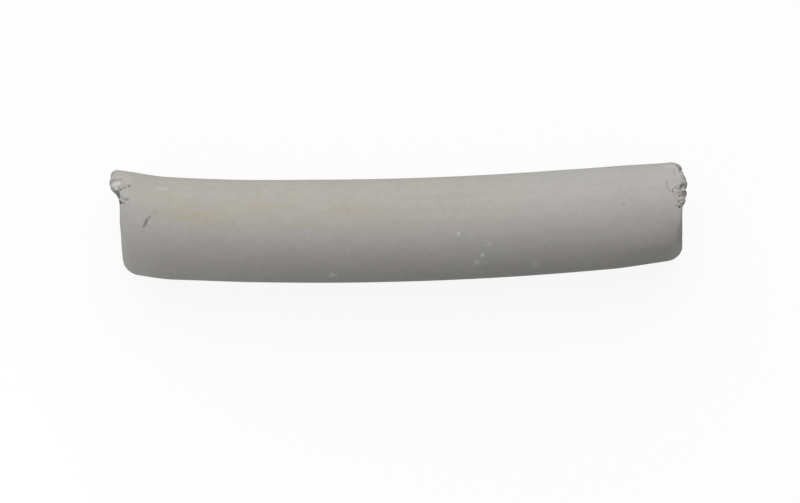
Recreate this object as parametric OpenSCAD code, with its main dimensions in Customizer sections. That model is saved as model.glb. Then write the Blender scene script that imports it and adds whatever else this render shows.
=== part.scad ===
// Underglaze crayon: one solid stick of pigmented clay, extruded round and cut to length with a
// wire while it was soft. The wire pulled both ends the way it travelled. So the stick is bowed,
// each face is drawn round where the wire went in, and a torn lip stands where it came out.
//
// X runs along the stick and Z is up. +Y is the way the wire travelled, the hollow side of the bow.
// The origin is on the flat underside, below the middle of the stick. Millimetres and degrees.

/* [Stick] */
// Length between the two cut faces, on the axis
length = 69; // [50:0.1:90]
// Diameter of the extruded stick
diameter = 12.7; // [9:0.1:18]
// Rise of the axis from the middle of the stick to its ends
bow = 1.53; // [0.3:0.01:4]
// Depth of the flat that the soft stick settled on as it dried
flat_depth = 0.15; // [0.05:0.01:0.6]

/* [Cut faces] */
// Lean of each cut face, outwards on the side that the wire left by
face_lean = 2.2; // [0:0.1:6]
// Radius of the edge of each cut face, above and below
face_edge = 0.5; // [0.2:0.05:1.2]

/* [Left end] */
// Radius of the left edge where the wire went in
left_entry_edge = 1.75; // [0.5:0.05:3]
// Radius of the left edge where the wire came out
left_exit_edge = 0.5; // [0.2:0.05:1.8]
// Distance that the wire's pull moved the left end sideways
left_drag = 0.45; // [-0.5:0.01:1]
// Radius that the left end lost to the wire's pull
left_pinch = 0.03; // [0:0.01:0.8]
// Length of stick that the pull on the left end reaches
left_pull = 6; // [2:0.1:12]
// Height of the torn left lip above the cut face
left_lip_height = 1.05; // [0:0.05:2]
// Place of the left lip round the face, from the exit side towards the top
left_lip_angle = 21; // [-20:1:90]

/* [Right end] */
// Radius of the right edge where the wire went in
right_entry_edge = 1.7; // [0.5:0.05:3]
// Radius of the right edge where the wire came out
right_exit_edge = 1.4; // [0.2:0.05:1.8]
// Distance that the wire's pull moved the right end sideways
right_drag = -0.05; // [-0.5:0.01:1]
// Radius that the right end lost to the wire's pull
right_pinch = 0.35; // [0:0.01:0.8]
// Length of stick that the pull on the right end reaches
right_pull = 9; // [2:0.1:12]
// Height of the torn right lip above the cut face
right_lip_height = 0.6; // [0:0.05:2]
// Place of the right lip round the face, from the exit side towards the top
right_lip_angle = 63; // [-20:1:90]

/* [Torn clay] */
// Width of the broadest swell of a lip
lip_width = 2; // [1:0.1:3]
// Number of torn crumbs along each lip
crumb_count = 16; // [0:1:30]
// Width of the largest crumb
crumb_width = 1.05; // [0.5:0.05:1.6]
// Height of the largest crumb
crumb_height = 0.22; // [0.05:0.01:0.35]

/* [Hidden] */

LEFT = 0;
RIGHT = 1;
OUTWARD = [-1, 1];

radius = diameter / 2;
half_length = length / 2;
axis_height = radius - flat_depth;
bow_radius = (pow(half_length, 2) + pow(bow, 2)) / (2 * bow);

// The sizes of both ends, indexed by LEFT and RIGHT.
entry_edge = [left_entry_edge, right_entry_edge];
exit_edge = [left_exit_edge, right_exit_edge];
drag = [left_drag, right_drag];
pinch = [left_pinch, right_pinch];
pull = [left_pull, right_pull];
lip_height = [left_lip_height, right_lip_height];
lip_angle = [left_lip_angle, right_lip_angle];

// The swells of each lip: the turn from the lip's angle, the distance from the axis as a share of
// the radius, and the width and height as shares of the lip's own.
LIP_SWELLS = [
    [[-38, 0.88, 0.85, 0.55], [-18, 0.93, 1.00, 0.90], [7, 0.84, 1.00, 1.00],
     [26, 0.87, 0.70, 0.36], [38, 0.90, 0.50, 0.12]],
    [[-24, 0.82, 0.65, 0.50], [-7, 0.88, 0.75, 0.95], [5, 0.90, 0.60, 1.00],
     [15, 0.88, 0.45, 0.55]]
];
// Half of the turn over which each lip's crumbs are strewn, and the seed that strews them.
CRUMB_SPREAD = [46, 30];
CRUMB_SEED = [11, 29];
// The band of the radius that the crumbs lie in, and the least share of their width and height.
CRUMB_BAND = [0.80, 0.99];
CRUMB_LEAST = 0.5;

// Points round the stick are close together past both lips, and rings are close near the faces.
LIP_MARGIN = [65, 37];
LIP_STEPS = 36;
REST_STEPS = 26;
BODY_STEPS = 14;
END_STEPS = 8;
END_CROWDING = 1.6;
EDGE_STEPS = 5;
FACE_STEPS = 10;

fine_from = min(lip_angle) - LIP_MARGIN[0];
fine_to = max(lip_angle) + LIP_MARGIN[1];
angles = concat(
    [for (i = [0 : LIP_STEPS]) mix(fine_from, fine_to, i / LIP_STEPS)],
    [for (i = [1 : REST_STEPS - 1]) mix(fine_to, fine_from + 360, i / REST_STEPS)]
);
end_zone = max(pull);
body_half = half_length - end_zone;

function mix(a, b, t) = a + (b - a) * t;
function ease(t) = let (c = max(0, min(1, t))) c * c * (3 - 2 * c);
function swell(t) = t < 1 ? pow(1 - t * t, 2) : 0;
function reversed(list) = [for (i = [len(list) - 1 : -1 : 0]) list[i]];

// The axis is an arc: its rise at a distance out from the middle, and its slant's cosine there.
function axis_rise(out) = bow_radius - sqrt(pow(bow_radius, 2) - pow(out, 2));
function axis_cos(out) = sqrt(1 - pow(out / bow_radius, 2));

// Distance out to the cut face, at a distance y from the axis.
function face_out(y) = half_length + y * tan(face_lean);

// Radius of the edge at a turn round the stick: largest where the wire went in.
function edge_at(end, turn) =
    face_edge
    + pow(max(0, -cos(turn)), 1.5) * (entry_edge[end] - face_edge)
    + pow(max(0, cos(turn)), 1.5) * (exit_edge[end] - face_edge);

// Height of the lip above the cut face, at a place across the face.
function lip_at(end, y, z) = lip_height[end] * max([
    for (s = LIP_SWELLS[end])
        let (turn = lip_angle[end] + s[0], centre = s[1] * radius * [cos(turn), sin(turn)])
        s[3] * swell(norm([y, z] - centre) / (s[2] * lip_width))
]);

// The crumbs of an end, strewn along its lip: the centre and size of each.
function crumbs(end) =
    let (draws = rands(0, 1, 4 * crumb_count + 1, CRUMB_SEED[end]))
    [for (i = [0 : 1 : crumb_count - 1])
        let (
            along = (i + draws[4 * i]) / crumb_count,
            turn = lip_angle[end] + CRUMB_SPREAD[end] * mix(-1, 1, along),
            rho = radius * mix(CRUMB_BAND[0], CRUMB_BAND[1], draws[4 * i + 1]),
            y = rho * cos(turn),
            z = rho * sin(turn),
            out = face_out(y) + lip_at(end, y, z) * draws[4 * i + 2]
        )
        [[out, y, z], mix(CRUMB_LEAST, 1, draws[4 * i + 3])]
    ];
all_crumbs = [crumbs(LEFT), crumbs(RIGHT)];

// Height of the crumbs over the clay at a point of an end.
function crumb_at(end, p) = crumb_height * max([
    0,
    for (c = all_crumbs[end]) c[1] * swell(norm(p - c[0]) / (c[1] * crumb_width))
]);

// A point of the stick's skin, rho from the axis at a turn round it and a distance out towards an
// end. The crumbs stand on it the way it faces, then the wire's pull and the bow move it.
function skin_point(end, out, rho, turn, facing) =
    let (
        pulled = ease(1 - max(0, face_out(rho * cos(turn)) - out) / pull[end]),
        slim = rho - pinch[end] * pulled * rho / radius,
        clay = [out, slim * cos(turn), slim * sin(turn)],
        p = clay + facing * crumb_at(end, clay)
    )
    [
        OUTWARD[end] * p[0],
        axis_rise(p[0]) + drag[end] * pulled + p[1] / axis_cos(p[0]),
        axis_height + p[2]
    ];

// Distance out to where the edge starts on the stick's side, at a turn round it.
function side_end(end, turn) =
    let (edge = edge_at(end, turn), inner = radius - pinch[end] - edge)
    face_out(radius * cos(turn)) + lip_at(end, inner * cos(turn), inner * sin(turn)) - edge;

// Rings of points round the stick: along its body, along the side of an end, round the edge of a
// cut face, and across the face, where t runs from 0 to 1 through each of the last three.
function body_ring(x) = [for (turn = angles)
    skin_point(x < 0 ? LEFT : RIGHT, abs(x), radius, turn, [0, 0, 0])
];
function side_ring(end, t) = [for (turn = angles)
    let (out = mix(body_half, side_end(end, turn), 1 - pow(1 - t, END_CROWDING)))
    skin_point(end, out, radius, turn, [0, cos(turn), sin(turn)])
];
function edge_ring(end, t) =
    let (round = cos(90 * t), over = sin(90 * t))
    [for (turn = angles)
        let (
            edge = edge_at(end, turn),
            out = side_end(end, turn) + edge * over,
            rho = radius - edge * (1 - round)
        )
        skin_point(end, out, rho, turn, [over, round * cos(turn), round * sin(turn)])
    ];
function face_ring(end, t) = [for (turn = angles)
    let (
        inner = radius - edge_at(end, turn),
        rho = inner * (1 - t),
        y = rho * cos(turn),
        z = rho * sin(turn),
        corner = face_out(radius * cos(turn)) - face_out(inner * cos(turn))
    )
    skin_point(end, face_out(y) + corner * (1 - t) + lip_at(end, y, z), rho, turn, [1, 0, 0])
];
function end_rings(end) = concat(
    [for (i = [1 : END_STEPS]) side_ring(end, i / END_STEPS)],
    [for (i = [1 : EDGE_STEPS]) edge_ring(end, i / EDGE_STEPS)],
    [for (i = [1 : FACE_STEPS - 1]) face_ring(end, i / FACE_STEPS)]
);
function face_middle(end) = skin_point(end, face_out(0) + lip_at(end, 0, 0), 0, 0, [1, 0, 0]);

// A closed skin over rings of equal count, with one point in the middle of each end.
module skin(rings, first, last) {
    n = len(rings[0]);
    count = n * len(rings);
    sides = [for (r = [0 : len(rings) - 2], i = [0 : n - 1])
        let (here = r * n, next = here + n, j = (i + 1) % n)
        each [[here + i, next + i, next + j], [here + i, next + j, here + j]]
    ];
    first_fan = [for (i = [0 : n - 1]) [count, i, (i + 1) % n]];
    last_fan = [for (i = [0 : n - 1]) [count + 1, count - n + (i + 1) % n, count - n + i]];
    polyhedron(
        points = concat([for (ring = rings) each ring], [first, last]),
        faces = concat(sides, first_fan, last_fan)
    );
}

// What lies below the flat.
module below() {
    translate([-length, -length, -diameter]) cube([2 * length, 2 * length, diameter]);
}

module crayon() {
    body = [for (i = [0 : BODY_STEPS]) body_ring(mix(-body_half, body_half, i / BODY_STEPS))];
    color([0.66, 0.65, 0.62])
        difference() {
            skin(
                concat(reversed(end_rings(LEFT)), body, end_rings(RIGHT)),
                face_middle(LEFT),
                face_middle(RIGHT)
            );
            below();
        }
}

crayon();
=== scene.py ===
"""Dresses the underglaze crayon: its torn and pitted skin, its dry clay and a plain pale studio."""

import logging
import math
from dataclasses import dataclass, field
from enum import Enum
from typing import Any, TypeAlias

import bpy
import numpy as np
from mathutils import Matrix, Vector, noise


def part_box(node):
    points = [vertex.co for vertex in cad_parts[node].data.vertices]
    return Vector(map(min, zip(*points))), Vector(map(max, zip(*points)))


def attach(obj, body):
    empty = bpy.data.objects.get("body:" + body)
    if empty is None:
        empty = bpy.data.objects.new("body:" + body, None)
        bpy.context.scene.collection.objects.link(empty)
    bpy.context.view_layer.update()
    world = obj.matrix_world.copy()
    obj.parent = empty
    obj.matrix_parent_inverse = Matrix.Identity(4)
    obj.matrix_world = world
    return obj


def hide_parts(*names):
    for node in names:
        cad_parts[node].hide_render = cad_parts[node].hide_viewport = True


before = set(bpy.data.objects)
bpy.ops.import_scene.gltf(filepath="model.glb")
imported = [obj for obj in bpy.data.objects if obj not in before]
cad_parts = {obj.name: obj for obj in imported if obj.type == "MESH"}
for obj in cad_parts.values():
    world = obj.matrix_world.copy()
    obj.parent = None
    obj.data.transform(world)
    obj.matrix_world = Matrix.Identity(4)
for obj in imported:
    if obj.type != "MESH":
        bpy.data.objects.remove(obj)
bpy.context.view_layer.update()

LOG = logging.getLogger("crayon")
MM = 0.001
NODE = "crayon"
BODY = "root"

# The least squared length to divide by, for a mark that starts and ends at one place.
TINY = 1e-9

Amount: TypeAlias = float | np.ndarray
Colour: TypeAlias = tuple[float, float, float, float]
WHITE: Colour = (1.0, 1.0, 1.0, 1.0)


def mix(first: Amount, last: Amount, share: Amount) -> Amount:
    """Returns the value at a share of the way from the first to the last."""
    return first + (last - first) * share


def ease(share: Amount) -> Amount:
    """Returns a share from 0 to 1, eased in and out and held past both ends."""
    held = np.clip(share, 0.0, 1.0)
    return held * held * (3.0 - 2.0 * held)


def swell(share: Amount) -> Amount:
    """Returns a smooth rise that is 1 at a share of 0 and falls to 0 at 1."""
    return np.where(share < 1.0, (1.0 - np.minimum(share, 1.0) ** 2) ** 2, 0.0)


def steps(count: int) -> np.ndarray:
    """Returns the shares of the way that a count of even steps reach, the last of which is 1."""
    return np.arange(1, count + 1) / count


def cos_deg(turn: Amount) -> Amount:
    """Returns the cosine of a turn in degrees."""
    return np.cos(np.radians(turn))


def sin_deg(turn: Amount) -> Amount:
    """Returns the sine of a turn in degrees."""
    return np.sin(np.radians(turn))


def add_to_scene(name: str, data: bpy.types.ID) -> bpy.types.Object:
    """Adds an object to the scene.

    Args:
        name: The object's name.
        data: Its mesh, lamp or camera.

    Returns:
        The object.
    """
    made = bpy.data.objects.new(name, data)
    bpy.context.scene.collection.objects.link(made)
    return made


@dataclass(frozen=True)
class Swell:
    """One rise of a torn lip, with its sizes as shares of the lip's own."""

    turn: float
    place: float
    width: float
    height: float


@dataclass(frozen=True)
class StickEnd:
    """The sizes of one end of the stick, in millimetres and degrees."""

    outward: int
    entry_edge: float
    exit_edge: float
    drag: float
    pinch: float
    pull: float
    lip_height: float
    lip_angle: float
    swells: tuple[Swell, ...]


LEFT_END = StickEnd(
    outward=-1,
    entry_edge=1.75,
    exit_edge=0.9,
    drag=0.45,
    pinch=0.03,
    pull=6.0,
    lip_height=1.05,
    lip_angle=21.0,
    swells=(
        Swell(-38, 0.88, 0.85, 0.55),
        Swell(-18, 0.93, 1.00, 0.87),
        Swell(-4, 0.88, 0.75, 0.76),
        Swell(10, 0.84, 0.85, 0.90),
        Swell(18, 0.84, 0.68, 0.80),
        Swell(27, 0.88, 0.75, 0.30),
        Swell(40, 0.90, 0.50, 0.05),
    ),
)
RIGHT_END = StickEnd(
    outward=1,
    entry_edge=1.7,
    exit_edge=1.55,
    drag=-0.05,
    pinch=0.35,
    pull=9.0,
    lip_height=0.6,
    lip_angle=63.0,
    swells=(
        Swell(-24, 0.82, 0.45, 0.60),
        Swell(-11, 0.88, 0.80, 0.88),
        Swell(5, 0.90, 0.60, 0.76),
        Swell(15, 0.88, 0.45, 0.52),
    ),
)


@dataclass(frozen=True)
class StickForm:
    """The smooth form of the stick, in millimetres and degrees.

    Its sizes are the solid's own, apart from the exit edges and some swells of the lips.
    """

    length: float = 69.0
    diameter: float = 12.7
    bow: float = 1.53
    flat_depth: float = 0.15
    face_lean: float = 2.2
    face_edge: float = 0.5
    lip_width: float = 2.0
    edge_blend: float = 1.5
    ends: tuple[StickEnd, StickEnd] = (LEFT_END, RIGHT_END)

    @property
    def radius(self) -> float:
        """The stick's radius."""
        return self.diameter / 2

    @property
    def half_length(self) -> float:
        """Half of the length between the faces."""
        return self.length / 2

    @property
    def axis_height(self) -> float:
        """Height of the axis over the flat that the stick rests on."""
        return self.radius - self.flat_depth

    @property
    def bow_radius(self) -> float:
        """Radius of the arc that the axis follows."""
        return (self.half_length**2 + self.bow**2) / (2 * self.bow)

    def axis_rise(self, out: Amount) -> Amount:
        """Returns the axis's rise towards +Y at a distance out from the middle."""
        return self.bow_radius - np.sqrt(self.bow_radius**2 - out**2)

    def axis_cos(self, out: Amount) -> Amount:
        """Returns the cosine of the axis's slant at a distance out from the middle."""
        return np.sqrt(1 - (out / self.bow_radius) ** 2)

    def face_out(self, y: Amount) -> Amount:
        """Returns the distance out to the cut face, at a distance y from the axis."""
        return self.half_length + y * math.tan(math.radians(self.face_lean))

    def edge_at(self, end: StickEnd, turn: np.ndarray) -> np.ndarray:
        """Returns the radius of the face's edge at a turn round the stick.

        Args:
            end: The end that the edge is on.
            turn: The turn from +Y towards +Z, in degrees.

        Returns:
            The radius, which is largest where the wire went in.
        """
        entry = np.maximum(0, -cos_deg(turn)) ** self.edge_blend
        leaving = np.maximum(0, cos_deg(turn)) ** self.edge_blend
        return (
            self.face_edge
            + entry * (end.entry_edge - self.face_edge)
            + leaving * (end.exit_edge - self.face_edge)
        )

    def swell_centre(self, end: StickEnd, rise: Swell) -> tuple[float, float]:
        """Works out where one swell of a lip stands.

        Args:
            end: The end that the lip is on.
            rise: The swell.

        Returns:
            Its distances from the axis along Y and Z.
        """
        turn = end.lip_angle + rise.turn
        reach = rise.place * self.radius
        return reach * cos_deg(turn), reach * sin_deg(turn)

    def lip_at(self, end: StickEnd, y: np.ndarray, z: np.ndarray) -> np.ndarray:
        """Returns the height of the torn lip above the cut face.

        Args:
            end: The end that the lip is on.
            y: Distance from the axis along Y.
            z: Distance from the axis along Z.

        Returns:
            The height, which is 0 away from the lip.
        """
        rises = []
        for rise in end.swells:
            centre_y, centre_z = self.swell_centre(end, rise)
            away = np.hypot(y - centre_y, z - centre_z)
            rises.append(rise.height * swell(away / (rise.width * self.lip_width)))
        return end.lip_height * np.max(rises, axis=0)

    def side_end(self, end: StickEnd, turn: np.ndarray) -> np.ndarray:
        """Works out where the face's edge starts.

        Args:
            end: The end that the edge is on.
            turn: The turn from +Y towards +Z, in degrees.

        Returns:
            The distance out to it.
        """
        edge = self.edge_at(end, turn)
        inner = self.radius - end.pinch - edge
        lip = self.lip_at(end, inner * cos_deg(turn), inner * sin_deg(turn))
        return self.face_out(self.radius * cos_deg(turn)) + lip - edge

    def place(self, end: StickEnd, local: np.ndarray) -> np.ndarray:
        """Moves points of a straight stick as the wire's pull and the bow moved the clay.

        Args:
            end: The end that the points belong to.
            local: Points as distance out, and distances from the axis along Y and Z.

        Returns:
            The points in the part's own frame, in millimetres.
        """
        out, y, z = np.moveaxis(local, -1, 0)
        pulled = ease(1 - np.maximum(0, self.face_out(y) - out) / end.pull)
        slim = 1 - end.pinch * pulled / self.radius
        placed = (
            end.outward * out,
            self.axis_rise(out) + end.drag * pulled + y * slim / self.axis_cos(out),
            np.maximum(0, self.axis_height + z * slim),
        )
        return np.stack(placed, axis=-1)


@dataclass(frozen=True)
class GridPlan:
    """How finely the skin is divided: more so round the lips, and near and on the cut faces."""

    fine_left: tuple[float, float] = (-32.0, 84.0)
    fine_right: tuple[float, float] = (8.0, 98.0)
    fine_points: int = 190
    other_points: int = 90
    body_rings: int = 72
    side_rings: int = 16
    near_rings: int = 58
    near_length: float = 3.2
    edge_rings: int = 16
    face_rings: int = 40
    face_crowding: float = 1.6

    def turns(self, share: float) -> np.ndarray:
        """Returns the turns of a ring's points, close together where a lip is.

        Args:
            share: Where the ring is, from 0 at the left end to 1 at the right one.

        Returns:
            The turns round the stick, in degrees.
        """
        even = ease(share)
        bounds = zip(self.fine_left, self.fine_right)
        start, stop = (mix(left, right, even) for left, right in bounds)
        return np.concatenate(
            (
                np.linspace(start, stop, self.fine_points, endpoint=False),
                np.linspace(stop, start + 360, self.other_points, endpoint=False),
            )
        )


@dataclass
class SkinGrid:
    """The stick's skin as rings of points, from the left face's middle to the right one's.

    The rings are kept as laid on a straight stick and as placed in the frame, with the side of
    the stick, left or right, that each is on.
    """

    form: StickForm
    plan: GridPlan
    local: np.ndarray = field(init=False)
    placed: np.ndarray = field(init=False)
    ring_side: np.ndarray = field(init=False)

    def __post_init__(self) -> None:
        """Works out every point, as laid on a straight stick and as placed in the frame."""
        left, right = self.form.ends
        body_half = self.form.half_length - max(end.pull for end in self.form.ends)
        across = np.linspace(-body_half, body_half, self.plan.body_rings)
        body = np.stack([self._round_ring(x, (x / body_half + 1) / 2) for x in across])
        blocks = [
            (left, self._end_rings(left, body_half, self.plan.turns(0))[::-1]),
            (left, body[across < 0]),
            (right, body[across >= 0]),
            (right, self._end_rings(right, body_half, self.plan.turns(1))),
        ]
        self.local = np.concatenate([rings for _, rings in blocks])
        self.placed = np.concatenate([self.form.place(end, rings) for end, rings in blocks])
        self.ring_side = np.concatenate([np.full(len(rings), end.outward) for end, rings in blocks])

    def _round_ring(self, x: float, share: float) -> np.ndarray:
        """Returns a plain round ring at a place along the body."""
        turns = self.plan.turns(share)
        return self._ring(np.full_like(turns, abs(x)), self.form.radius, turns)

    @staticmethod
    def _ring(out: np.ndarray, rho: Amount, turns: np.ndarray) -> np.ndarray:
        """Returns a ring of points as distance out, and distances from the axis along Y and Z."""
        return np.stack((out, rho * cos_deg(turns), rho * sin_deg(turns)), axis=-1)

    def _end_rings(self, end: StickEnd, body_half: float, turns: np.ndarray) -> np.ndarray:
        """Builds the rings of one end, from its side round its edge and across its face.

        Args:
            end: The end to build.
            body_half: Distance out to where the plain body stops.
            turns: The turns of each ring's points.

        Returns:
            The rings, with the middle of the face left out.
        """
        form, plan = self.form, self.plan
        cos = cos_deg(turns)
        edge = form.edge_at(end, turns)
        side_end = form.side_end(end, turns)
        near_start = side_end - plan.near_length
        rings = []
        for share in steps(plan.side_rings):
            rings.append(self._ring(mix(body_half, near_start, share), form.radius, turns))
        for share in steps(plan.near_rings):
            rings.append(self._ring(mix(near_start, side_end, share), form.radius, turns))
        for angle in 90 * steps(plan.edge_rings):
            rho = form.radius - edge * (1 - cos_deg(angle))
            rings.append(self._ring(side_end + edge * sin_deg(angle), rho, turns))
        inner = form.radius - edge
        corner = form.face_out(form.radius * cos) - form.face_out(inner * cos)
        for share in steps(plan.face_rings)[:-1]:
            left_over = 1 - share**plan.face_crowding
            ring = self._ring(corner * left_over, inner * left_over, turns)
            ring[:, 0] += form.face_out(ring[:, 1]) + form.lip_at(end, ring[:, 1], ring[:, 2])
            rings.append(ring)
        return np.stack(rings)

    def points(self) -> np.ndarray:
        """Returns every placed point, ring after ring, then the middles of the two faces."""
        return np.concatenate((self.placed.reshape(-1, 3), self._middles(placed=True)))

    def straight_points(self) -> np.ndarray:
        """Gives the points as they lie on the straight stick.

        Returns:
            Every point, in the order of points(), with its distance out signed along X.
        """
        signed = self.local.copy()
        signed[..., 0] *= self.ring_side[:, None]
        return np.concatenate((signed.reshape(-1, 3), self._middles(placed=False)))

    def _middles(self, placed: bool) -> np.ndarray:
        """Works out the middles of the two faces.

        Args:
            placed: Whether they are placed in the frame, or on the straight stick.

        Returns:
            The two points.
        """
        middles = []
        for end in self.form.ends:
            lip = self.form.lip_at(end, np.zeros(1), np.zeros(1))[0]
            local = np.array([self.form.half_length + lip, 0.0, 0.0])
            middles.append(self.form.place(end, local) if placed else local * [end.outward, 1, 1])
        return np.stack(middles)

    def faces(self) -> list[tuple[int, ...]]:
        """Joins the points into a closed skin.

        Returns:
            The quads between the rings and the triangles round the faces' middles.
        """
        rings, count = self.local.shape[:2]
        along = [(i, (i + 1) % count) for i in range(count)]
        quads = [
            (ring * count + i, ring * count + j, (ring + 1) * count + j, (ring + 1) * count + i)
            for ring in range(rings - 1)
            for i, j in along
        ]
        first, last = rings * count, rings * count + 1
        start = (rings - 1) * count
        return (
            quads
            + [(first, j, i) for i, j in along]
            + [(last, start + i, start + j) for i, j in along]
        )


@dataclass(frozen=True)
class Unevenness:
    """One scale of unevenness in the clay, in millimetres: its octaves fade as they refine."""

    size: float
    height: float
    seed: float
    stretch: tuple[float, float, float] = (1.0, 1.0, 1.0)
    octaves: int = 2
    fading: float = 1.0
    refining: float = 2.0

    def at(self, points: np.ndarray) -> np.ndarray:
        """Works out the unevenness at each point.

        Args:
            points: The points.

        Returns:
            A value for each point, from minus the height to the height.
        """
        spots = (points / (self.size * np.array(self.stretch)) + self.seed).tolist()
        values = [noise.fractal(spot, self.fading, self.refining, self.octaves) for spot in spots]
        return self.height * np.clip(values, -1, 1)


class MarkKind(Enum):
    """What a mark does to the clay's colour: DARK paints shade into dents and hollows, PALE paints
    dust and highlights, BROWN paints a stain.
    """

    DARK = "cavity_shade"
    PALE = "dust_and_highlight"
    BROWN = "stain"


DARK, PALE, BROWN = MarkKind


@dataclass(frozen=True)
class Mark:
    """A dent or crumb on the upper skin, from one place to another as seen from above, whose tone
    paints shade, a highlight, dust or a stain.

    It follows the clay over steep places, as far above and below its line as its drape.
    """

    start: tuple[float, float]
    end: tuple[float, float]
    reach: float
    height: float
    kind: MarkKind
    tone: float
    drape: float = 0.6


def spot(x: float, y: float, reach: float, height: float, kind: MarkKind, tone: float) -> Mark:
    """Returns a round mark at one place."""
    return Mark((x, y), (x, y), reach, height, kind, tone)


# The dark marks on the left lip's head are dents with painted shade in its groove and pits; the
# pale ones are crumbs with painted highlights on its nose and above the groove, and a little dust.
LEFT_HEAD_MARKS = (
    Mark((-35.24, 7.02), (-35.02, 7.36), 0.24, -0.08, DARK, 0.34),
    Mark((-35.10, 6.94), (-34.66, 7.06), 0.20, -0.10, DARK, 0.24),
    Mark((-34.66, 7.06), (-34.22, 7.24), 0.24, -0.13, DARK, 0.30),
    spot(-35.27, 7.16, 0.15, -0.06, DARK, 0.44),
    spot(-35.34, 7.44, 0.18, 0.05, PALE, 0.45),
    Mark((-34.52, 7.56), (-34.22, 7.50), 0.20, 0.06, PALE, 0.35),
    Mark((-35.32, 6.24), (-34.98, 6.00), 0.46, 0.34, PALE, 0.70, 1.6),
    Mark((-35.40, 6.20), (-35.10, 6.48), 0.34, 0.12, PALE, 0.90, 1.6),
    Mark((-35.10, 6.52), (-34.52, 6.86), 0.40, 0.14, PALE, 0.80),
    Mark((-34.90, 6.20), (-34.66, 6.46), 0.30, 0.06, PALE, 0.40),
    Mark((-34.80, 7.90), (-33.40, 7.30), 0.90, 0.0, PALE, 0.14),
    spot(-34.55, 6.15, 0.17, -0.13, DARK, 0.50),
    Mark((-34.40, 5.99), (-34.24, 5.94), 0.19, -0.16, DARK, 0.66),
    spot(-33.76, 6.18, 0.22, -0.10, DARK, 0.34),
    spot(-33.84, 6.32, 0.40, 0.0, BROWN, 0.20),
    Mark((-33.27, 6.38), (-33.17, 6.42), 0.15, -0.12, DARK, 0.54),
    spot(-33.22, 6.38, 0.32, 0.0, BROWN, 0.42),
)
# Painted shadow: dark tone down the flank under the left lip's overhang, where its shade falls,
# over a real sink.
LEFT_FLANK_MARKS = (
    Mark((-35.12, 5.62), (-34.60, 5.68), 0.22, -0.14, DARK, 0.60, 2.5),
    Mark((-34.92, 5.38), (-34.60, 5.42), 0.26, -0.24, DARK, 0.74, 2.5),
    Mark((-34.66, 5.26), (-34.58, 5.02), 0.22, -0.30, DARK, 0.88, 2.5),
)
# On the left lip's second lump the pale marks paint a highlight and pale grains, and the dark ones
# paint shade on its lower side and in its pockets.
LEFT_LUMP_MARKS = (
    Mark((-34.22, 5.50), (-33.65, 5.12), 0.62, 0.20, PALE, 0.14),
    Mark((-34.22, 4.86), (-33.84, 4.76), 0.24, -0.07, DARK, 0.18),
    Mark((-34.40, 4.44), (-34.34, 4.28), 0.19, -0.26, DARK, 1.00),
    Mark((-34.26, 4.27), (-33.88, 4.28), 0.15, -0.12, DARK, 0.48),
    Mark((-33.76, 4.54), (-33.46, 4.64), 0.20, -0.09, DARK, 0.18),
    spot(-33.66, 4.20, 0.21, 0.08, PALE, 0.14),
    spot(-34.15, 3.84, 0.21, 0.07, PALE, 0.18),
    spot(-33.74, 3.86, 0.18, 0.06, PALE, 0.15),
    spot(-34.10, 4.06, 0.16, 0.06, PALE, 0.18),
    spot(-33.92, 4.00, 0.15, -0.05, DARK, 0.20),
)
# The dark marks paint shade into the gouge beside small pale flecks; the brown spot is a stain.
LEFT_GOUGE_MARKS = (
    Mark((-31.58, 1.16), (-31.36, 1.60), 0.14, -0.09, DARK, 0.58),
    Mark((-31.36, 1.58), (-31.12, 2.02), 0.15, -0.11, DARK, 0.64),
    Mark((-30.92, 2.20), (-30.70, 2.50), 0.13, -0.07, DARK, 0.48),
    spot(-30.86, 1.88, 0.14, 0.03, PALE, 0.20),
    spot(-31.92, 1.50, 0.18, 0.03, PALE, 0.14),
    spot(-30.24, 2.98, 0.44, 0.0, BROWN, 0.40),
)
# On the right rim the dark marks paint shade into creases, the pale ones paint highlights at the
# top corner and a pale patch at the lower corner, and the brown ones are stains.
RIGHT_RIM_MARKS = (
    Mark((33.86, 7.08), (34.28, 6.80), 0.13, -0.10, DARK, 0.44),
    Mark((34.28, 6.80), (34.44, 6.60), 0.15, -0.14, DARK, 0.66),
    Mark((32.80, 7.02), (33.60, 6.98), 0.60, 0.02, PALE, 0.34, 0.0),
    spot(34.03, 6.62, 0.26, 0.04, PALE, 0.40),
    Mark((33.98, 6.05), (34.10, 5.75), 0.28, 0.04, PALE, 0.24),
    spot(34.62, 5.95, 0.20, 0.05, PALE, 0.36),
    Mark((33.62, 6.24), (33.72, 5.94), 0.22, -0.04, DARK, 0.14),
    spot(33.74, 5.90, 0.17, -0.05, DARK, 0.20),
    Mark((32.62, 5.10), (32.72, 4.50), 0.22, -0.06, DARK, 0.24),
    Mark((32.72, 4.50), (32.95, 3.88), 0.20, -0.05, DARK, 0.18),
    Mark((32.95, 3.88), (33.22, 3.70), 0.16, -0.04, DARK, 0.12),
    Mark((34.20, -0.60), (34.05, -2.20), 0.85, 0.0, BROWN, 0.28, 0.0),
    Mark((33.50, -0.40), (33.40, -2.80), 1.10, 0.0, BROWN, 0.12, 0.0),
    Mark((33.90, -3.20), (33.20, -4.50), 0.90, 0.0, PALE, 0.26, 1.6),
    Mark((34.05, 3.70), (34.60, 2.80), 0.80, 0.0, BROWN, 0.22),
)
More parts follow.
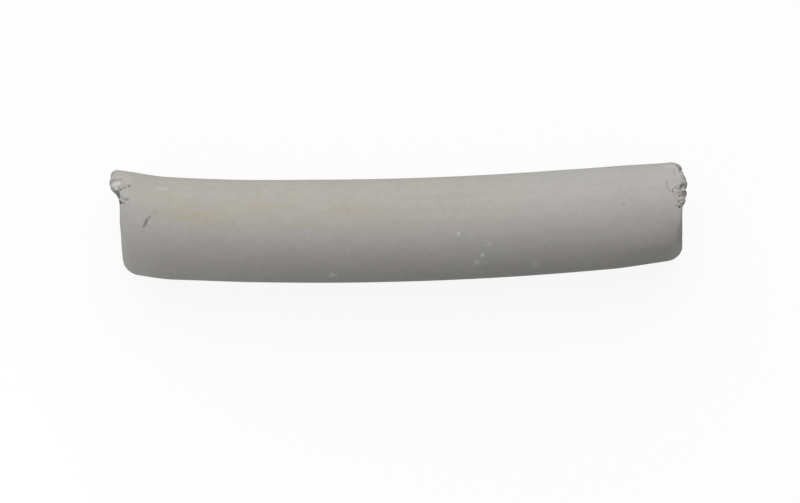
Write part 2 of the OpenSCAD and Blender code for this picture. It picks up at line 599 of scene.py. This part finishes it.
# On the right lip the dark marks paint shade into pits and creases, the pale ones paint highlights
# on its lumps, and the brown one is a stain.
RIGHT_LIP_MARKS = (
    Mark((33.38, 4.10), (33.34, 3.84), 0.13, -0.13, DARK, 0.62),
    spot(33.53, 4.00, 0.22, 0.14, PALE, 1.00),
    Mark((33.60, 4.34), (33.76, 4.42), 0.13, -0.05, DARK, 0.24),
    Mark((33.78, 4.26), (33.88, 4.44), 0.13, -0.05, DARK, 0.22),
    Mark((34.24, 4.22), (34.46, 4.46), 0.29, -0.18, DARK, 0.66),
    Mark((34.46, 4.46), (34.80, 4.54), 0.28, -0.18, DARK, 0.52),
    spot(34.54, 4.78, 0.18, -0.08, DARK, 0.44),
    spot(35.00, 4.28, 0.20, -0.12, DARK, 0.62),
    spot(34.68, 4.00, 0.24, 0.18, PALE, 1.00),
    Mark((34.68, 3.66), (34.64, 3.30), 0.29, -0.14, DARK, 0.42),
    Mark((34.68, 3.66), (34.64, 3.30), 0.36, 0.0, BROWN, 0.50),
    Mark((34.96, 3.86), (34.90, 3.46), 0.17, -0.12, DARK, 0.62),
    spot(34.15, 3.20, 0.20, -0.12, DARK, 0.34),
    spot(34.05, 3.62, 0.24, -0.06, DARK, 0.22),
    spot(34.40, 2.90, 0.36, 0.12, PALE, 0.28),
    spot(33.97, 2.50, 0.18, -0.13, DARK, 0.54),
    spot(33.74, 2.38, 0.22, 0.10, PALE, 0.30),
    spot(34.46, 2.40, 0.21, 0.07, PALE, 0.12),
    Mark((34.36, 2.14), (34.60, 2.16), 0.17, -0.08, DARK, 0.20),
    Mark((33.64, 2.18), (33.90, 2.02), 0.10, -0.04, DARK, 0.16),
    Mark((33.90, 2.02), (34.08, 1.92), 0.11, -0.06, DARK, 0.34),
    spot(34.20, 1.88, 0.15, -0.26, DARK, 1.00),
)


@dataclass(frozen=True)
class WireWander:
    """A band right across a cut face, along the wire, where the wire strayed into the stick."""

    outward: int
    y: float
    half_breadth: float
    depth: float

    def at(self, straight: np.ndarray) -> np.ndarray:
        """Returns the band's depth at each point of the straight stick, in millimetres."""
        there = self.depth * swell(np.abs(straight[:, 1] - self.y) / self.half_breadth)
        return np.where(straight[:, 0] * self.outward > 0, there, 0.0)


WIRE_WANDERS = (
    WireWander(-1, 1.9, 2.3, 0.17),
    WireWander(-1, -1.5, 1.9, 0.08),
    WireWander(1, -0.7, 2.6, 0.10),
    WireWander(1, 5.10, 0.32, 0.16),
    WireWander(1, -4.9, 1.6, -0.10),
)


@dataclass(frozen=True)
class TornPatch:
    """A place on the upper skin where the clay is torn and crumbly, seen from above."""

    x: float
    y: float
    reach: float
    strength: float


TORN_PATCHES = (
    TornPatch(-34.8, 6.5, 1.0, 0.6),
    TornPatch(-33.9, 5.2, 1.0, 0.5),
    TornPatch(-33.9, 4.1, 0.8, 0.5),
    TornPatch(34.1, 2.6, 1.2, 0.8),
    TornPatch(34.5, 3.6, 1.2, 0.9),
    TornPatch(33.7, 4.0, 0.8, 0.5),
    TornPatch(34.6, 4.6, 0.8, 0.7),
)


@dataclass(frozen=True)
class Hollow:
    """A broad shallow hollow along the stick's side, in millimetres and degrees."""

    x: float
    turn: float
    length: float
    breadth: float
    depth: float

    def at(self, straight: np.ndarray) -> np.ndarray:
        """Works out how deep the hollow is.

        Args:
            straight: Points on the straight stick.

        Returns:
            The depth at each point.
        """
        turns = np.degrees(np.arctan2(straight[:, 2], straight[:, 1]))
        aside = np.abs((turns - self.turn + 180) % 360 - 180)
        along = np.abs(straight[:, 0] - self.x)
        return self.depth * swell(along / self.length) * swell(aside / self.breadth)


HOLLOWS = (
    Hollow(-22.5, 0.0, 13.0, 75.0, 0.13),
    Hollow(27.0, 0.0, 8.5, 75.0, 0.13),
    Hollow(-26.0, 180.0, 7.0, 60.0, 0.05),
)


@dataclass(frozen=True)
class TornSkin:
    """The clay's relief over its smooth form: undulation, die and wire marks, and torn lips.

    Lengths are in millimetres, but where the side starts and blends is in shares of the radius.
    """

    undulation: Unevenness = Unevenness(7.0, 0.025, seed=3.1, stretch=(1.8, 1.0, 1.0))
    undulation_drop: float = 0.012
    die_streaks: Unevenness = Unevenness(0.9, 0.004, seed=11.3, stretch=(40.0, 1.0, 1.0))
    wire_drag: Unevenness = Unevenness(0.75, 0.035, seed=23.7, stretch=(1.0, 14.0, 1.0))
    wire_waves: Unevenness = Unevenness(2.2, 0.04, seed=31.9, stretch=(1.0, 1.0, 2.4))
    torn_lumps: Unevenness = Unevenness(0.80, 0.20, seed=41.2, octaves=3)
    torn_grain: Unevenness = Unevenness(0.26, 0.07, seed=53.6)
    warp: Unevenness = Unevenness(0.55, 0.16, seed=67.4)
    side_from: float = 0.93
    side_blend: float = 0.07
    lumps_share: float = 0.5
    lumps_drop: float = 0.07
    face_tear: float = 0.42
    tear_reach: tuple[float, float] = (0.4, 0.9)
    tear_fall: float = 2.0
    # Painted shade in the torn clay's hollows, and how it grows with their depth.
    hollow_shade: float = 0.9
    hollow_power: float = 1.2
    steep_height: float = 1.5
    mark_depth: float = 3.0
    wandering: float = 0.35
    wandering_length: float = 5.0
    pick_reach: float = 0.10
    pick_slack: float = 1.01
    marks: tuple[Mark, ...] = (
        LEFT_HEAD_MARKS
        + LEFT_FLANK_MARKS
        + LEFT_LUMP_MARKS
        + LEFT_GOUGE_MARKS
        + RIGHT_RIM_MARKS
        + RIGHT_LIP_MARKS
    )

    def tear_at(self, form: StickForm, points: np.ndarray, straight: np.ndarray) -> np.ndarray:
        """Returns how torn the clay is at each point, from 0 to 1.

        Args:
            form: The smooth form that the lips stand on.
            points: Points of the placed skin.
            straight: The same points on the straight stick, with their distance out signed.

        Returns:
            A value for each point, which is highest on the lips.
        """
        torn = np.zeros(len(straight))
        for end in form.ends:
            out = straight[:, 0] * end.outward
            for rise in end.swells:
                y, z = form.swell_centre(end, rise)
                root = form.face_out(y) + end.lip_height * rise.height - form.lip_width / 2
                away = np.hypot(straight[:, 1] - y, straight[:, 2] - z)
                below = self.tear_fall * np.maximum(0, root - out)
                reach = form.lip_width * mix(*self.tear_reach, rise.width)
                torn = np.maximum(torn, self.face_tear * swell(np.hypot(away, below) / reach))
        upper = np.flatnonzero(points[:, 2] > form.axis_height)
        skin = points[upper]
        for patch in TORN_PATCHES:
            centre = self._nearest(skin, (patch.x, patch.y))
            away = np.linalg.norm(skin - centre, axis=1)
            torn[upper] = np.maximum(torn[upper], patch.strength * swell(away / patch.reach))
        return torn

    def relief(self, grid: SkinGrid) -> tuple[np.ndarray, np.ndarray, dict[MarkKind, np.ndarray]]:
        """Works out how far the skin stands off its smooth form, and its dark and pale places.

        Args:
            grid: The smooth skin.

        Returns:
            How far each point stands off the form, how far it is lifted upwards, both in
            millimetres, and the tone of each kind of mark.
        """
        form, points, straight = grid.form, grid.points(), grid.straight_points()
        tones = {kind: np.zeros(len(points)) for kind in MarkKind}
        rho = np.hypot(straight[:, 1], straight[:, 2])
        on_side = ease((rho - form.radius * self.side_from) / (form.radius * self.side_blend))
        height = self.undulation.at(straight) - self.undulation_drop
        height += on_side * (self.die_streaks.at(straight) - self.die_streaks.height)
        for hollow in HOLLOWS:
            height -= hollow.at(straight)
        face = np.flatnonzero(on_side < 1)
        wire = self.wire_drag.at(straight[face]) + self.wire_waves.at(straight[face])
        for wander in WIRE_WANDERS:
            wire -= wander.at(straight[face])
        height[face] += (1 - on_side[face]) * wire
        lift = self._lift(tones, form, points)
        rise = self._torn_rise(tones, straight, self.tear_at(form, points, straight))
        upward = ease((points[:, 2] - form.axis_height) / self.steep_height)
        return height + (1 - upward) * rise, lift + upward * rise, tones

    def _torn_rise(self, tones: dict[MarkKind, np.ndarray], straight: np.ndarray,
                   torn: np.ndarray) -> np.ndarray:
        """Works out the lumps and grain of the torn clay, and paints shade into its hollows.

        Args:
            tones: The tone of each kind of mark, which this adds to.
            straight: Points on the straight stick.
            torn: How torn the clay is at each point.

        Returns:
            How far each point stands off the smooth form, in millimetres.
        """
        rise = np.zeros(len(straight))
        where = np.flatnonzero(torn > 0)
        spots = straight[where]
        warped = spots + self.warp.at(spots)[:, None]
        lumps = self.torn_lumps.height - 2 * np.abs(self.torn_lumps.at(warped))
        rough = self.lumps_share * lumps - self.lumps_drop + self.torn_grain.at(spots)
        rise[where] = torn[where] * rough
        # Painted shade: the deeper a hollow of the torn clay, the darker its colour.
        hollow = np.clip(-rise / self.torn_lumps.height, 0, 1)
        tones[DARK] = np.maximum(tones[DARK], self.hollow_shade * hollow**self.hollow_power)
        return rise

    def _lift(self, tones: dict[MarkKind, np.ndarray], form: StickForm,
              points: np.ndarray) -> np.ndarray:
        """Works out each mark on the upper skin, with an outline that wanders a little.

        Args:
            tones: The tone of each kind of mark, which this adds to.
            form: The smooth form.
            points: Points of the placed skin.

        Returns:
            How far each point is lifted upwards, in millimetres.
        """
        lift = np.zeros(len(points))
        upper = np.flatnonzero(points[:, 2] > form.axis_height - self.mark_depth)
        skin = points[upper]
        warp = np.zeros(len(upper))
        near_end = np.flatnonzero(np.abs(skin[:, 0]) > form.half_length - self.wandering_length)
        warp[near_end] = self.warp.at(skin[near_end])
        for mark in self.marks:
            start, end = (self._nearest(skin, place) for place in (mark.start, mark.end))
            away = self._distance(skin, start, end, mark.drape) + self.wandering * warp
            strength = swell(np.maximum(away, 0) / mark.reach)
            lift[upper] += mark.height * strength
            tone = tones[mark.kind]
            tone[upper] = np.maximum(tone[upper], mark.tone * np.sqrt(strength))
        return lift

    def _nearest(self, skin: np.ndarray, place: tuple[float, float]) -> np.ndarray:
        """Finds the point that is seen at a place from above.

        Args:
            skin: Points of the upper skin.
            place: The place's X and Y.

        Returns:
            The topmost of the points that are near the place.
        """
        aside = np.hypot(skin[:, 0] - place[0], skin[:, 1] - place[1])
        near = np.flatnonzero(aside < max(self.pick_reach, self.pick_slack * aside.min()))
        return skin[near[np.argmax(skin[near, 2])]]

    @staticmethod
    def _distance(points: np.ndarray, start: np.ndarray, end: np.ndarray,
                  drape: float) -> np.ndarray:
        """Returns each point's distance from the stretch between two points.

        Args:
            points: The points.
            start: Where the stretch starts.
            end: Where it ends.
            drape: The difference in height that counts as none.

        Returns:
            The distances.
        """
        along = end[:2] - start[:2]
        share = np.clip((points[:, :2] - start[:2]) @ along / max(along @ along, TINY), 0, 1)
        nearest = start + share[:, None] * (end - start)
        gaps = points - nearest
        above = np.maximum(0, np.abs(gaps[:, 2]) - drape)
        return np.sqrt(gaps[:, 0] ** 2 + gaps[:, 1] ** 2 + above**2)


Operand: TypeAlias = "Wire | float | tuple[float, ...]"

# The Mix node's sockets for colours: the share, the two colours, and the result.
MIX_SHARE, MIX_FIRST, MIX_SECOND, MIX_RESULT = 0, 6, 7, 2


class Operation(Enum):
    """What a node does with two values."""

    MIX = "MIX"
    ADD = "ADD"
    SUBTRACT = "SUBTRACT"
    MULTIPLY = "MULTIPLY"
    MAXIMUM = "MAXIMUM"


@dataclass(frozen=True)
class Cloud:
    """Soft noise in the clay: the size of its patches in millimetres, and its weight in a sum."""

    size: float
    weight: float = 1.0
    detail: float = 3.0
    stretch: tuple[float, float, float] = (1.0, 1.0, 1.0)
    roughness: float = 0.55


@dataclass(frozen=True)
class Wire:
    """A shader value on its way between nodes, with the arithmetic that the finishes use."""

    board: "Board"
    socket: bpy.types.NodeSocket

    def __add__(self, other: Operand) -> "Wire":
        """Returns this plus the other."""
        return self.board.combine(Operation.ADD, self, other)

    def __radd__(self, other: Operand) -> "Wire":
        """Returns the other plus this."""
        return self.board.combine(Operation.ADD, other, self)

    def __sub__(self, other: Operand) -> "Wire":
        """Returns this less the other."""
        return self.board.combine(Operation.SUBTRACT, self, other)

    def __rsub__(self, other: Operand) -> "Wire":
        """Returns the other less this."""
        return self.board.combine(Operation.SUBTRACT, other, self)

    def __mul__(self, other: Operand) -> "Wire":
        """Returns this times the other."""
        return self.board.combine(Operation.MULTIPLY, self, other)

    def __rmul__(self, other: Operand) -> "Wire":
        """Returns the other times this."""
        return self.board.combine(Operation.MULTIPLY, other, self)


@dataclass(frozen=True)
class Board:
    """A material's or the world's node tree, and the means to add to it."""

    tree: bpy.types.NodeTree

    @classmethod
    def of(cls, owner: bpy.types.Material | bpy.types.World) -> "Board":
        """Empties the nodes of a material or of the world.

        Args:
            owner: The material or world.

        Returns:
            The board of its nodes.
        """
        owner.use_nodes = True
        owner.node_tree.nodes.clear()
        return cls(owner.node_tree)

    def node(self, kind: str, settings: dict[str, Any],
             sockets: dict[str | int, Operand]) -> bpy.types.Node:
        """Adds one node.

        Args:
            kind: The node's type.
            settings: Its properties, which are set first.
            sockets: Values or wires for its inputs, by name or number.

        Returns:
            The new node.
        """
        made = self.tree.nodes.new(kind)
        for name, value in settings.items():
            setattr(made, name, value)
        for key, value in sockets.items():
            if isinstance(value, Wire):
                self.tree.links.new(value.socket, made.inputs[key])
            else:
                made.inputs[key].default_value = value
        return made

    def wire(self, kind: str, settings: dict[str, Any], sockets: dict[str | int, Operand],
             output: str | int = 0) -> Wire:
        """Adds one node and returns a wire from one of its outputs."""
        return Wire(self, self.node(kind, settings, sockets).outputs[output])

    def combine(self, operation: Operation, first: Operand, second: Operand) -> Wire:
        """Adds the node that does one operation on numbers, vectors or colours.

        Args:
            operation: What it does.
            first: The left operand, a wire or a value.
            second: The right operand, a wire or a value.

        Returns:
            The result.
        """
        kinds = {operand.socket.type for operand in (first, second) if isinstance(operand, Wire)}
        if "RGBA" in kinds:
            return self.blend(1.0, first, second, operation)
        kind = "ShaderNodeVectorMath" if "VECTOR" in kinds else "ShaderNodeMath"
        return self.wire(kind, {"operation": operation.value}, {0: first, 1: second})

    def blend(self, share: Operand, first: Operand, second: Operand,
              operation: Operation = Operation.MIX) -> Wire:
        """Adds a node that blends two colours.

        Args:
            share: How far the result goes from the first colour, from 0 to 1.
            first: The first colour.
            second: The second colour.
            operation: What the whole of the way is: the second colour, or both combined.

        Returns:
            The colour.
        """
        settings = {"data_type": "RGBA", "blend_type": operation.value}
        sockets = {MIX_SHARE: share, MIX_FIRST: first, MIX_SECOND: second}
        return self.wire("ShaderNodeMix", settings, sockets, MIX_RESULT)

    def fade(self, value: Wire, span: tuple[float, float], unit: float = 1.0) -> Wire:
        """Adds a smooth rise from 0 to 1.

        Args:
            value: The value that it follows.
            span: The value where it starts, and the one where it ends.
            unit: What the span is counted in, MM where it is in millimetres.

        Returns:
            The rise.
        """
        sockets = {"Value": value, "From Min": span[0] * unit, "From Max": span[1] * unit}
        return self.wire("ShaderNodeMapRange", {"interpolation_type": "SMOOTHSTEP"}, sockets)

    def cloud(self, place: Wire, cloud: Cloud) -> Wire:
        """Adds soft noise.

        Args:
            place: The coordinates, in metres.
            cloud: The kind of noise.

        Returns:
            The noise, from 0 to 1.
        """
        scaled = place * tuple(1 / (cloud.size * MM * stretch) for stretch in cloud.stretch)
        sockets = {
            "Vector": scaled, "Scale": 1.0, "Detail": cloud.detail, "Roughness": cloud.roughness
        }
        return self.wire("ShaderNodeTexNoise", {}, sockets)

    def seen(self) -> Wire:
        """Tells the rays that look at the background from those that light the object.

        Returns:
            1 for a ray from the camera, a mirror or a glass, and 0 for any other.
        """
        path = self.node("ShaderNodeLightPath", {}, {})
        rays = ("Is Camera Ray", "Is Glossy Ray", "Is Transmission Ray")
        camera, glossy, through = (Wire(self, path.outputs[ray]) for ray in rays)
        return self.wire("ShaderNodeClamp", {}, {0: camera + glossy + through})


@dataclass(frozen=True)
class Speck:
    """A soft pale or dark fleck or patch on the upper skin, seen from above, in millimetres."""

    x: float
    y: float
    half_width: float
    half_height: float
    strength: float


PALE_SPECKS = (
    Speck(6.96, -0.62, 0.27, 0.25, 0.58),
    Speck(9.81, -3.37, 0.28, 0.36, 0.62),
    Speck(9.06, -4.14, 0.34, 0.44, 0.56),
    Speck(8.80, -4.50, 0.24, 0.30, 0.40),
    Speck(10.58, -2.13, 0.58, 0.30, 0.24),
    Speck(-8.66, -5.24, 0.26, 0.40, 0.74),
    Speck(-8.98, -5.46, 0.24, 0.28, 0.50),
    Speck(-8.26, -5.26, 0.34, 0.26, 0.44),
    Speck(16.20, -4.66, 0.60, 0.95, 0.24),
    Speck(16.25, -4.60, 0.30, 0.50, 0.22),
    Speck(29.37, -1.48, 0.50, 0.32, 0.12),
    Speck(28.80, -1.40, 5.50, 1.90, 0.09),
    Speck(-29.20, 5.92, 1.05, 0.32, 0.24),
    Speck(-12.40, -1.60, 0.50, 0.28, 0.09),
    Speck(12.20, 4.90, 0.30, 0.30, 0.09),
)
DARK_SPECKS = (
    Speck(27.26, 2.44, 0.17, 0.17, 0.30),
    Speck(28.02, 3.18, 0.14, 0.18, 0.22),
    Speck(17.58, -2.50, 0.24, 0.18, 0.24),
    Speck(10.20, -4.95, 0.90, 0.40, 0.06),
    Speck(31.60, -3.50, 2.40, 0.95, 0.10),
    Speck(-13.60, 5.31, 0.50, 0.20, 0.16),
    Speck(-21.00, 5.62, 7.50, 0.16, 0.08),
    Speck(-25.60, 0.55, 0.60, 0.40, 0.07),
    Speck(-11.00, -3.20, 0.16, 0.70, 0.05),
    Speck(4.60, 3.90, 0.30, 0.22, 0.08),
)


@dataclass(frozen=True)
class DryClay:
    """Unfired pigmented clay: matt, slightly mottled, with painted shade in its pits and hollows,
    pale dust, and painted highlights and glow.
    """

    form: StickForm
    colour: Colour = (0.408, 0.400, 0.378, 1.0)
    warm_colour: Colour = (0.412, 0.380, 0.316, 1.0)
    dark_colour: Colour = (0.115, 0.110, 0.100, 1.0)
    pale_colour: Colour = (0.62, 0.61, 0.57, 1.0)
    brown_colour: Colour = (0.27, 0.235, 0.175, 1.0)
    specular: float = 0.25
    roughness: float = 0.82
    roughening: Cloud = Cloud(1.6, weight=0.14, detail=2.0)
    bumps: Cloud = Cloud(0.22, weight=0.008)
    patches: Cloud = Cloud(5.0, weight=0.09)
    mottle: Cloud = Cloud(0.9, weight=0.18)
    streaks: Cloud = Cloud(0.55, weight=0.065, stretch=(34.0, 1.0, 1.0))
    grain: Cloud = Cloud(0.20, weight=0.10, detail=2.0)
    warm_share: float = 0.36
    warm_slant: float = 0.8
    warm_along: tuple[float, float] = (18.0, 7.0)
    warm_from_left: tuple[float, float] = (-31.0, -28.2)
    warm_aside: tuple[float, float] = (-0.8, 1.4)
    stripes: Cloud = Cloud(1.0, stretch=(7.0, 1.0, 1.0))
    stripes_level: tuple[float, float] = (0.45, 0.64)
    stripes_along: tuple[float, float] = (0.0, -9.0)
    stripes_aside: tuple[float, float] = (4.8, 2.8)
    # A painted glow of light on the lower side by the left end, where the rounded edge catches more
    # light.
    glow_share: float = 0.24
    glow_along: tuple[float, float] = (-29.0, -34.5)
    glow_aside: tuple[float, float] = (1.0, -4.0)
    speck_edge: tuple[float, float] = (1.3, 0.5)

    def material(self) -> bpy.types.Material:
        """Builds the material.

        Returns:
            A material for the stick's skin.
        """
        made = bpy.data.materials.new("dry_clay")
        board = Board.of(made)
        place = board.wire("ShaderNodeTexCoord", {}, {}, "Object")
        colour = self._colour(board, place)
        height = self._layer(board, place, self.bumps)
        bump = board.wire("ShaderNodeBump", {}, {"Strength": 1.0, "Distance": MM, "Height": height})
        roughness = self.roughness + self._layer(board, place, self.roughening)
        shader = board.wire(
            "ShaderNodeBsdfPrincipled",
            {},
            {
                "Base Color": colour,
                "Roughness": roughness,
                "Specular IOR Level": self.specular,
                "Normal": bump,
            },
        )
        board.node("ShaderNodeOutputMaterial", {}, {"Surface": shader})
        return made

    @staticmethod
    def _layer(board: Board, place: Wire, cloud: Cloud) -> Wire:
        """Returns a cloud times its weight."""
        return board.cloud(place, cloud) * cloud.weight

    def _colour(self, board: Board, place: Wire) -> Wire:
        """Builds the clay's colour.

        Args:
            board: The material's nodes.
            place: Coordinates on the part, in metres.

        Returns:
            The colour, with its tint, mottling, stains, dust and specks, painted shade in its dents
            and hollows, and painted highlights and glow.
        """
        cavity_shade, dust_and_highlight, stain = (
            board.wire("ShaderNodeAttribute", {"attribute_name": kind.value}, {}, "Fac")
            for kind in (DARK, PALE, BROWN)
        )
        axes = board.node("ShaderNodeSeparateXYZ", {}, {0: place})
        x, y = (Wire(board, axes.outputs[i]) for i in (0, 1))
        aside = y - x * x * (self.form.bow / self.form.half_length**2 / MM)
        warm = self._warmth(board, place, x, aside)
        colour = board.blend(warm, self.colour, self.warm_colour)
        toned = colour * self._shade(board, place)
        # Painted shade in dents, pits and hollows, with the dark specks.
        dark = self._with_specks(board, place, cavity_shade, DARK_SPECKS)
        # Painted light: a pale glow towards the lower corner of the left end, joined to the dust
        # and painted highlights of the pale marks.
        painted_glow = board.fade(x, self.glow_along, MM) * board.fade(aside, self.glow_aside, MM)
        dust_and_painted_light = board.combine(Operation.MAXIMUM, dust_and_highlight, painted_glow * self.glow_share)
        pale = self._with_specks(board, place, dust_and_painted_light, PALE_SPECKS)
        stained = board.blend(stain, toned, self.brown_colour)
        return board.blend(dark, board.blend(pale, stained, self.pale_colour), self.dark_colour)

    def _warmth(self, board: Board, place: Wire, x: Wire, aside: Wire) -> Wire:
        """Works out how warm the clay's tint is.

        Args:
            board: The material's nodes.
            place: Coordinates on the part, in metres.
            x: Distance along the stick.
            aside: Distance from the bowed axis, towards the hollow side.

        Returns:
            From 0 to 1: a share of it all over the warm side, and the rest of it in stripes.
        """
        side = (
            board.fade(x, self.warm_along, MM)
            * board.fade(x + aside * self.warm_slant, self.warm_from_left, MM)
            * board.fade(aside, self.warm_aside, MM)
        )
        stripes = (
            board.fade(board.cloud(place, self.stripes), self.stripes_level)
            * board.fade(x, self.stripes_along, MM)
            * board.fade(aside, self.stripes_aside, MM)
        )
        return side * (self.warm_share + stripes * (1 - self.warm_share))

    def _shade(self, board: Board, place: Wire) -> Wire:
        """Works out how light the clay is, from its mottling, die streaks and grain.

        Args:
            board: The material's nodes.
            place: Coordinates on the part, in metres.

        Returns:
            The factor for the colour, which is about 1 on average.
        """
        clouds = (self.patches, self.mottle, self.streaks, self.grain)
        patches, mottle, streaks, grain = (self._layer(board, place, cloud) for cloud in clouds)
        rest = 1 - sum(cloud.weight for cloud in clouds) / 2
        level = patches + mottle + streaks + grain + rest
        return board.wire("ShaderNodeCombineXYZ", {}, {0: level, 1: level, 2: level})

    def _with_specks(self, board: Board, place: Wire, mask: Wire,
                     specks: tuple[Speck, ...]) -> Wire:
        """Adds specks to a mask.

        Args:
            board: The material's nodes.
            place: Coordinates on the part, in metres.
            mask: The mask.
            specks: The specks, which lie on the round skin.

        Returns:
            The mask with the specks.
        """
        form = self.form
        for speck in specks:
            y = speck.y - form.axis_rise(abs(speck.x))
            z = form.axis_height + math.sqrt(form.radius**2 - y**2)
            centre = (speck.x * MM, speck.y * MM, z * MM)
            sizes = (speck.half_width, speck.half_height, speck.half_height)
            scaled = (place - centre) * tuple(1 / (size * MM) for size in sizes)
            away = board.wire("ShaderNodeVectorMath", {"operation": "LENGTH"}, {0: scaled}, "Value")
            there = board.fade(away, self.speck_edge) * speck.strength
            mask = board.combine(Operation.MAXIMUM, mask, there)
        return mask


@dataclass(frozen=True)
class PaleFloor:
    """A floor that is nearly white to the camera, and keeps a soft shadow of the stick."""

    colour: float = 0.98
    whiteness: float = 0.90
    bounce: float = 0.35

    def material(self) -> bpy.types.Material:
        """Builds the material.

        Returns:
            A material for the floor.
        """
        made = bpy.data.materials.new("pale_floor")
        board = Board.of(made)
        seen = board.seen()
        dim, pale = ((level, level, level, 1.0) for level in (self.bounce, self.colour))
        plain = board.wire("ShaderNodeBsdfDiffuse", {}, {"Color": board.blend(seen, dim, pale)})
        lit = board.wire("ShaderNodeEmission", {}, {"Color": WHITE, "Strength": 1.0})
        share = seen * self.whiteness
        surface = board.wire("ShaderNodeMixShader", {}, {0: share, 1: plain, 2: lit})
        board.node("ShaderNodeOutputMaterial", {}, {"Surface": surface})
        return made


@dataclass
class CrayonStick:
    """The whole crayon: one solid stick of clay with its torn and pitted skin."""

    form: StickForm = StickForm()
    plan: GridPlan = GridPlan()
    skin: TornSkin = TornSkin()
    margin: float = 0.004
    name: str = "crayon_stick"

    def build(self) -> bpy.types.Object:
        """Builds the skin as one closed mesh that stands for the solid.

        Returns:
            The stick's object.
        """
        grid = SkinGrid(self.form, self.plan)
        mesh = bpy.data.meshes.new(self.name)
        mesh.from_pydata(grid.points().tolist(), [], grid.faces())
        mesh.update()
        height, lift, tones = self.skin.relief(grid)
        normals = np.empty(len(mesh.vertices) * 3, np.float32)
        mesh.vertices.foreach_get("normal", normals)
        points = grid.points() + normals.reshape(-1, 3) * height[:, None]
        points[:, 2] += lift
        mesh.vertices.foreach_set("co", (self._kept_inside(points) * MM).astype(np.float32).ravel())
        mesh.polygons.foreach_set("use_smooth", np.ones(len(mesh.polygons), bool))
        mesh.update()
        # Each kind of mark's tone is kept on the points: painted shade, dust with painted
        # highlights, and stains.
        for kind, tone in tones.items():
            attribute = mesh.attributes.new(kind.value, "FLOAT", "POINT")
            attribute.data.foreach_set("value", np.clip(tone, 0, 1).astype(np.float32))
        return add_to_scene(self.name, mesh)

    def _kept_inside(self, points: np.ndarray) -> np.ndarray:
        """Holds points within the solid's own box, and the lowest of them on the floor.

        Args:
            points: The points, in millimetres.

        Returns:
            The points, in millimetres.
        """
        low, high = (np.array(corner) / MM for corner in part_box(NODE))
        held = np.clip(points, low + self.margin, high - self.margin)
        held[points[:, 2] < self.margin, 2] = 0.0
        return held

    def dress(self, stick: bpy.types.Object) -> None:
        """Gives the stick its clay and ties it to the part's frame.

        Args:
            stick: The stick's object.
        """
        stick.data.materials.append(DryClay(self.form).material())
        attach(stick, BODY)
        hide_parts(NODE)


@dataclass(frozen=True)
class Studio:
    """A plain pale floor and room, a broad soft key light and a weak fill light."""

    floor_half: float = 2.0
    ambient: float = 0.36
    key_strength: float = 2.32
    key_angle: float = 80.0
    key_height: float = 40.0
    key_bearing: float = 6.0
    fill_power: float = 0.010
    fill_size: float = 40.0
    fill_place: tuple[float, float, float] = (-75.0, -45.0, 15.0)
    fill_target: tuple[float, float, float] = (-20.0, 0.0, 0.0)

    def build(self) -> None:
        """Builds the floor, the room and the two lights."""
        self._floor()
        self._room()
        self._key()
        self._fill()

    def _floor(self) -> None:
        """Builds the floor."""
        size = self.floor_half
        corners = [(-size, -size, 0), (size, -size, 0), (size, size, 0), (-size, size, 0)]
        mesh = bpy.data.meshes.new("floor")
        mesh.from_pydata(corners, [], [(0, 1, 2, 3)])
        floor = add_to_scene("floor", mesh)
        mesh.materials.append(PaleFloor().material())

    def _room(self) -> None:
        """Sets the world: a white background, and an even soft light from all round."""
        world = bpy.data.worlds.new("room")
        board = Board.of(world)
        soft = board.wire("ShaderNodeBackground", {}, {"Color": WHITE, "Strength": self.ambient})
        plain = board.wire("ShaderNodeBackground", {}, {"Color": WHITE, "Strength": 1.0})
        surface = board.wire("ShaderNodeMixShader", {}, {0: board.seen(), 1: soft, 2: plain})
        board.node("ShaderNodeOutputWorld", {}, {"Surface": surface})
        bpy.context.scene.world = world

    def _key(self) -> None:
        """Adds the broad soft light from the hollow side of the bow."""
        lamp = bpy.data.lights.new("key", "SUN")
        lamp.energy = self.key_strength
        lamp.angle = math.radians(self.key_angle)
        key = add_to_scene("key", lamp)
        key.rotation_euler = (math.radians(self.key_height - 90), 0, math.radians(self.key_bearing))

    def _fill(self) -> None:
        """Adds the weak light by the left end."""
        lamp = bpy.data.lights.new("fill", "AREA")
        lamp.energy = self.fill_power
        lamp.size = self.fill_size * MM
        fill = add_to_scene("fill", lamp)
        fill.location = Vector(self.fill_place) * MM
        facing = Vector(self.fill_target) - Vector(self.fill_place)
        fill.rotation_euler = facing.to_track_quat("-Z", "Y").to_euler()


@dataclass(frozen=True)
class View:
    """A long lens that looks straight down on the stick, with the scale in pixels a millimetre."""

    picture: tuple[float, float] = (800.0, 503.0)
    scale: float = 8.150
    stick_at: tuple[float, float] = (401.6, 230.0)
    roll: float = 1.6
    lens: float = 800.0
    sensor: float = 36.0
    nearest: float = 0.01
    farthest: float = 10.0

    def build(self, axis_height: float) -> None:
        """Makes the camera.

        Args:
            axis_height: Height of the stick's axis in millimetres, where the scale holds.
        """
        data = bpy.data.cameras.new("camera")
        data.lens = self.lens
        data.sensor_width = self.sensor
        data.clip_start = self.nearest
        data.clip_end = self.farthest
        camera = add_to_scene("camera", data)
        distance = self.picture[0] / self.scale * self.lens / self.sensor
        right = (self.picture[0] / 2 - self.stick_at[0]) / self.scale
        up = (self.stick_at[1] - self.picture[1] / 2) / self.scale
        turned = Matrix.Rotation(-math.radians(self.roll), 4, "Z")
        aside = turned @ Vector((right, up, 0.0))
        camera.location = (aside + Vector((0, 0, axis_height + distance))) * MM
        camera.rotation_euler = (0, 0, -math.radians(self.roll))
        bpy.context.scene.camera = camera


def main() -> None:
    """Builds the crayon and the studio round it."""
    logging.basicConfig(level=logging.INFO, format="%(name)s: %(message)s")
    crayon = CrayonStick()
    stick = crayon.build()
    crayon.dress(stick)
    mesh = stick.data
    LOG.info("%s: %d points, %d faces", stick.name, len(mesh.vertices), len(mesh.polygons))
    Studio().build()
    View().build(crayon.form.axis_height)
    bpy.context.scene.view_settings.view_transform = "Standard"
    LOG.info("studio and camera are ready")


if __name__ == "__main__":
    main()
